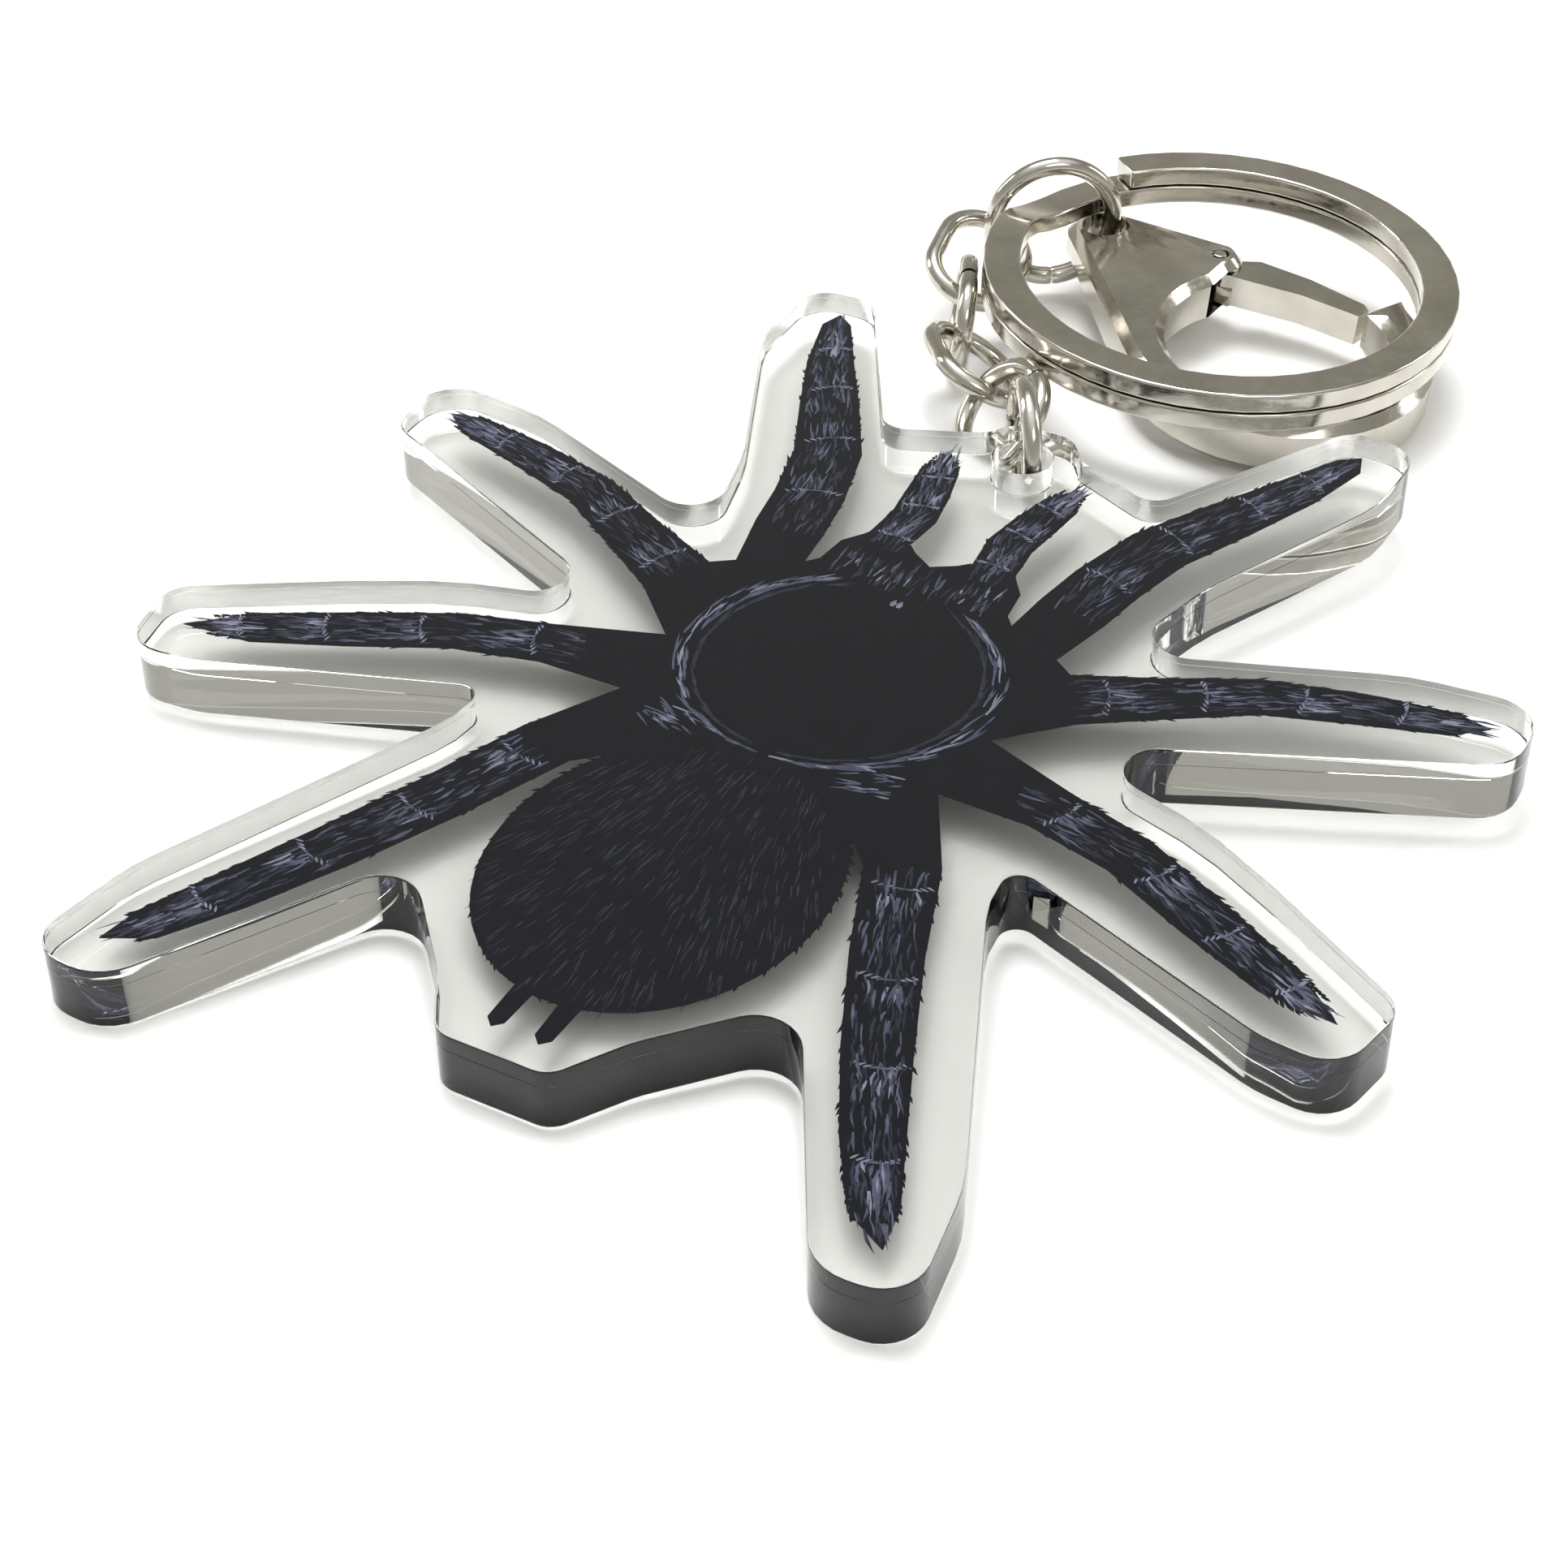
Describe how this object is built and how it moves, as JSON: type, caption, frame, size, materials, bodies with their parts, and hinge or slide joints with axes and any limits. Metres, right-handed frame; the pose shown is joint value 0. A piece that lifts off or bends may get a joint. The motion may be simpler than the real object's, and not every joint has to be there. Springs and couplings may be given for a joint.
{
  "type": "spider key charm",
  "caption": "Flat clear acrylic spider charm with a printed inner layer, hung by a jump ring and short oval-link chain from a split key ring and a lobster clasp.",
  "frame": {"origin": "on the charm's flat underside, on its line of symmetry, 25.3 mm below the hanging hole's centre", "axes": "+Z out of the charm's front face, +Y from the abdomen towards the hanging hole, +X to the spider's side on the right when seen from the front"},
  "size_m": [0.06, 0.0835, 0.0081],
  "materials": {
    "clear_acrylic": "polished clear acrylic, laser-cut edges",
    "printed_ink": "printed near-black ink with slate-lavender brush strokes",
    "nickel_plate": "bright nickel plate",
    "spring_wire": "plain steel wire"
  },
  "bodies": {
    "charm": {"base_sheet": "clear_acrylic", "cover_sheet": "clear_acrylic", "printed_spider": "printed_ink"},
    "jump_ring": {"tab_jump_ring": "nickel_plate"},
    "link_1": {"chain_link_1": "nickel_plate"},
    "link_2": {"chain_link_2": "nickel_plate"},
    "link_3": {"chain_link_3": "nickel_plate"},
    "link_4": {"chain_link_4": "nickel_plate"},
    "large_ring": {"end_ring": "nickel_plate"},
    "key_ring": {"split_ring": "nickel_plate"},
    "clasp": {"clasp_body": "nickel_plate", "clasp_gate_pin": "spring_wire", "clasp_spring": "spring_wire"},
    "gate": {"clasp_gate": "nickel_plate"}
  },
  "joints": [
    {"name": "jump_ring_slide_round", "type": "hinge", "parent": "charm", "child": "jump_ring", "pos_m": [-0.00096, 0.02754, 0.00215], "axis": [0.8356, 0.5494, 0], "range_deg": [-10, 50]},
    {"name": "link_1_swing", "type": "hinge", "parent": "jump_ring", "child": "link_1", "pos_m": [-0.00259, 0.03002, 0.00168], "axis": [0.0869, -0.1322, -0.9874], "range_deg": [-15, 7]},
    {"name": "link_2_swing", "type": "hinge", "parent": "link_1", "child": "link_2", "pos_m": [-0.00554, 0.03259, 0.00157], "axis": [0.5137, 0.4677, 0.7192], "range_deg": [-5, 35]},
    {"name": "link_3_swing", "type": "hinge", "parent": "link_2", "child": "link_3", "pos_m": [-0.00907, 0.03662, 0.00142], "axis": [0.6506, 0.5618, -0.511], "range_deg": [-35, 0]},
    {"name": "link_4_swing", "type": "hinge", "parent": "link_3", "child": "link_4", "pos_m": [-0.01117, 0.04155, 0.00135], "axis": [-0.104, -0.0635, -0.9926], "range_deg": [-35, 0]},
    {"name": "end_ring_swing", "type": "hinge", "parent": "link_4", "child": "large_ring", "pos_m": [-0.01174, 0.04685, 0.00233], "axis": [-0.9078, -0.1931, 0.3722], "range_deg": [0, 12]},
    {"name": "split_ring_lift", "type": "hinge", "parent": "large_ring", "child": "key_ring", "pos_m": [-0.00867, 0.04777, 0.00354], "axis": [-0.2882, -0.9576, 0], "range_deg": [0, 28]},
    {"name": "clasp_turn", "type": "hinge", "parent": "large_ring", "child": "clasp", "pos_m": [-0.00637, 0.04927, 0.0015], "axis": [0.0847, -0.0299, 0.996], "range_deg": [-12, 1]},
    {"name": "gate_open", "type": "hinge", "parent": "clasp", "child": "gate", "pos_m": [0.00052, 0.04885, 0.0014], "axis": [-0.0847, 0.0299, -0.996], "range_deg": [0, 28], "stiffness_Nm_per_rad": 0.004, "springref_deg": -20.05}
  ]
}
